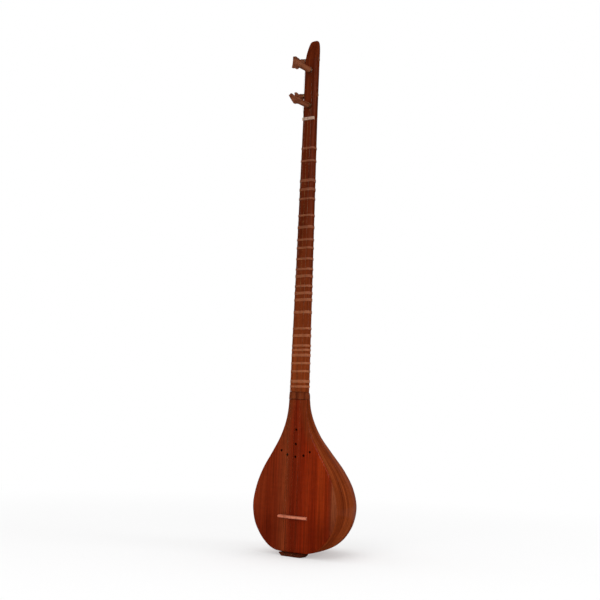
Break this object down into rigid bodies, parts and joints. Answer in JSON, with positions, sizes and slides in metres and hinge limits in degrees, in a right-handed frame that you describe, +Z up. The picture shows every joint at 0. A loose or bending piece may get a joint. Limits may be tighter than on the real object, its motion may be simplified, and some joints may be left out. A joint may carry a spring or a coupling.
{
  "type": "setar",
  "caption": "Upright Persian setar: pear-shaped body of bent staves, slim neck with tied gut frets, four strings, T-headed tuning pegs, low bridge.",
  "frame": {"origin": "middle of the tailpiece's flat underside, in the plane of the soundboard's front face", "axes": "+Z up along the neck, -Y towards the front where the soundboard faces, +X to the right seen from the front"},
  "size_m": [0.1626, 0.1902, 0.851],
  "materials": {
    "soundboard_wood": "gloss lacquer",
    "stave_wood": "gloss lacquer",
    "block_wood": "satin lacquer",
    "neck_wood": "gloss lacquer",
    "tailpiece_wood": "satin",
    "peg_wood": "satin",
    "bridge_wood": "satin",
    "bone": "satin",
    "gut": "satin",
    "steel": "polished",
    "brass": "polished",
    "wound_brass": "wound"
  },
  "bodies": {
    "instrument": {"soundboard": "soundboard_wood", "stave_01": "stave_wood", "stave_02": "stave_wood", "stave_03": "stave_wood", "stave_04": "stave_wood", "stave_05": "stave_wood", "stave_06": "stave_wood", "stave_07": "stave_wood", "stave_08": "stave_wood", "stave_09": "stave_wood", "stave_10": "stave_wood", "stave_11": "stave_wood", "stave_12": "stave_wood", "stave_13": "stave_wood", "stave_14": "stave_wood", "stave_15": "stave_wood", "throat_block": "block_wood", "tail_block": "block_wood", "tailpiece": "tailpiece_wood", "neck": "neck_wood", "nut": "bone", "string_white": "steel", "string_yellow": "brass", "string_drone": "steel", "string_bass": "wound_brass"},
    "peg_front_low": {"peg_front_low": "peg_wood", "winding_yellow": "brass"},
    "peg_front_high": {"peg_front_high": "peg_wood", "winding_white": "steel"},
    "peg_side_low": {"peg_side_low": "peg_wood", "winding_bass": "wound_brass"},
    "peg_side_high": {"peg_side_high": "peg_wood", "winding_drone": "steel"},
    "bridge": {"bridge": "bridge_wood"},
    "fret_01": {"fret_01": "gut"},
    "fret_02": {"fret_02": "gut"},
    "fret_03": {"fret_03": "gut"},
    "fret_04": {"fret_04": "gut"},
    "fret_05": {"fret_05": "gut"},
    "fret_06": {"fret_06": "gut"},
    "fret_07": {"fret_07": "gut"},
    "fret_08": {"fret_08": "gut"},
    "fret_09": {"fret_09": "gut"},
    "fret_10": {"fret_10": "gut"},
    "fret_11": {"fret_11": "gut"},
    "fret_12": {"fret_12": "gut"},
    "fret_13": {"fret_13": "gut"},
    "fret_14": {"fret_14": "gut"},
    "fret_15": {"fret_15": "gut"},
    "fret_16": {"fret_16": "gut"},
    "fret_17": {"fret_17": "gut"},
    "fret_18": {"fret_18": "gut"},
    "fret_19": {"fret_19": "gut"},
    "fret_20": {"fret_20": "gut"},
    "fret_21": {"fret_21": "gut"},
    "fret_22": {"fret_22": "gut"},
    "fret_23": {"fret_23": "gut"},
    "fret_24": {"fret_24": "gut"},
    "fret_25": {"fret_25": "gut"}
  },
  "joints": [
    {"name": "peg_front_low_turn", "type": "hinge", "parent": "instrument", "child": "peg_front_low", "pos_m": [0, -0.0015, 0.73633], "axis": [0, -1, 0], "continuous": true},
    {"name": "peg_front_high_turn", "type": "hinge", "parent": "instrument", "child": "peg_front_high", "pos_m": [0, -0.0015, 0.79693], "axis": [0, -1, 0], "continuous": true},
    {"name": "peg_side_low_turn", "type": "hinge", "parent": "instrument", "child": "peg_side_low", "pos_m": [-0.01165, 0.00775, 0.75648], "axis": [-1, 0, 0], "continuous": true},
    {"name": "peg_side_high_turn", "type": "hinge", "parent": "instrument", "child": "peg_side_high", "pos_m": [-0.01165, 0.00775, 0.81681], "axis": [-1, 0, 0], "continuous": true},
    {"name": "bridge_slide", "type": "slide", "parent": "instrument", "child": "bridge", "axis": [0, 0, 1], "range_m": [-0.0015, 0.003]},
    {"name": "fret_01_slide", "type": "slide", "parent": "instrument", "child": "fret_01", "axis": [0, 0, 1], "range_m": [-0.005, 0.005]},
    {"name": "fret_02_slide", "type": "slide", "parent": "instrument", "child": "fret_02", "axis": [0, 0, 1], "range_m": [-0.005, 0.005]},
    {"name": "fret_03_slide", "type": "slide", "parent": "instrument", "child": "fret_03", "axis": [0, 0, 1], "range_m": [-0.0045, 0.005]},
    {"name": "fret_04_slide", "type": "slide", "parent": "instrument", "child": "fret_04", "axis": [0, 0, 1], "range_m": [-0.005, 0.0045]},
    {"name": "fret_05_slide", "type": "slide", "parent": "instrument", "child": "fret_05", "axis": [0, 0, 1], "range_m": [-0.005, 0.005]},
    {"name": "fret_06_slide", "type": "slide", "parent": "instrument", "child": "fret_06", "axis": [0, 0, 1], "range_m": [-0.005, 0.005]},
    {"name": "fret_07_slide", "type": "slide", "parent": "instrument", "child": "fret_07", "axis": [0, 0, 1], "range_m": [-0.005, 0.005]},
    {"name": "fret_08_slide", "type": "slide", "parent": "instrument", "child": "fret_08", "axis": [0, 0, 1], "range_m": [-0.0044, 0.005]},
    {"name": "fret_09_slide", "type": "slide", "parent": "instrument", "child": "fret_09", "axis": [0, 0, 1], "range_m": [-0.005, 0.0044]},
    {"name": "fret_10_slide", "type": "slide", "parent": "instrument", "child": "fret_10", "axis": [0, 0, 1], "range_m": [-0.005, 0.005]},
    {"name": "fret_11_slide", "type": "slide", "parent": "instrument", "child": "fret_11", "axis": [0, 0, 1], "range_m": [-0.0031, 0.005]},
    {"name": "fret_12_slide", "type": "slide", "parent": "instrument", "child": "fret_12", "axis": [0, 0, 1], "range_m": [-0.005, 0.0031]},
    {"name": "fret_13_slide", "type": "slide", "parent": "instrument", "child": "fret_13", "axis": [0, 0, 1], "range_m": [-0.0031, 0.005]},
    {"name": "fret_14_slide", "type": "slide", "parent": "instrument", "child": "fret_14", "axis": [0, 0, 1], "range_m": [-0.0025, 0.0031]},
    {"name": "fret_15_slide", "type": "slide", "parent": "instrument", "child": "fret_15", "axis": [0, 0, 1], "range_m": [-0.005, 0.0025]},
    {"name": "fret_16_slide", "type": "slide", "parent": "instrument", "child": "fret_16", "axis": [0, 0, 1], "range_m": [-0.005, 0.005]},
    {"name": "fret_17_slide", "type": "slide", "parent": "instrument", "child": "fret_17", "axis": [0, 0, 1], "range_m": [-0.0031, 0.005]},
    {"name": "fret_18_slide", "type": "slide", "parent": "instrument", "child": "fret_18", "axis": [0, 0, 1], "range_m": [-0.005, 0.0031]},
    {"name": "fret_19_slide", "type": "slide", "parent": "instrument", "child": "fret_19", "axis": [0, 0, 1], "range_m": [-0.0012, 0.005]},
    {"name": "fret_20_slide", "type": "slide", "parent": "instrument", "child": "fret_20", "axis": [0, 0, 1], "range_m": [-0.0015, 0.0012]},
    {"name": "fret_21_slide", "type": "slide", "parent": "instrument", "child": "fret_21", "axis": [0, 0, 1], "range_m": [-0.0038, 0.0015]},
    {"name": "fret_22_slide", "type": "slide", "parent": "instrument", "child": "fret_22", "axis": [0, 0, 1], "range_m": [-0.0041, 0.0038]},
    {"name": "fret_23_slide", "type": "slide", "parent": "instrument", "child": "fret_23", "axis": [0, 0, 1], "range_m": [-0.005, 0.0041]},
    {"name": "fret_24_slide", "type": "slide", "parent": "instrument", "child": "fret_24", "axis": [0, 0, 1], "range_m": [-0.0015, 0.005]},
    {"name": "fret_25_slide", "type": "slide", "parent": "instrument", "child": "fret_25", "axis": [0, 0, 1], "range_m": [-0.005, 0.0015]}
  ]
}
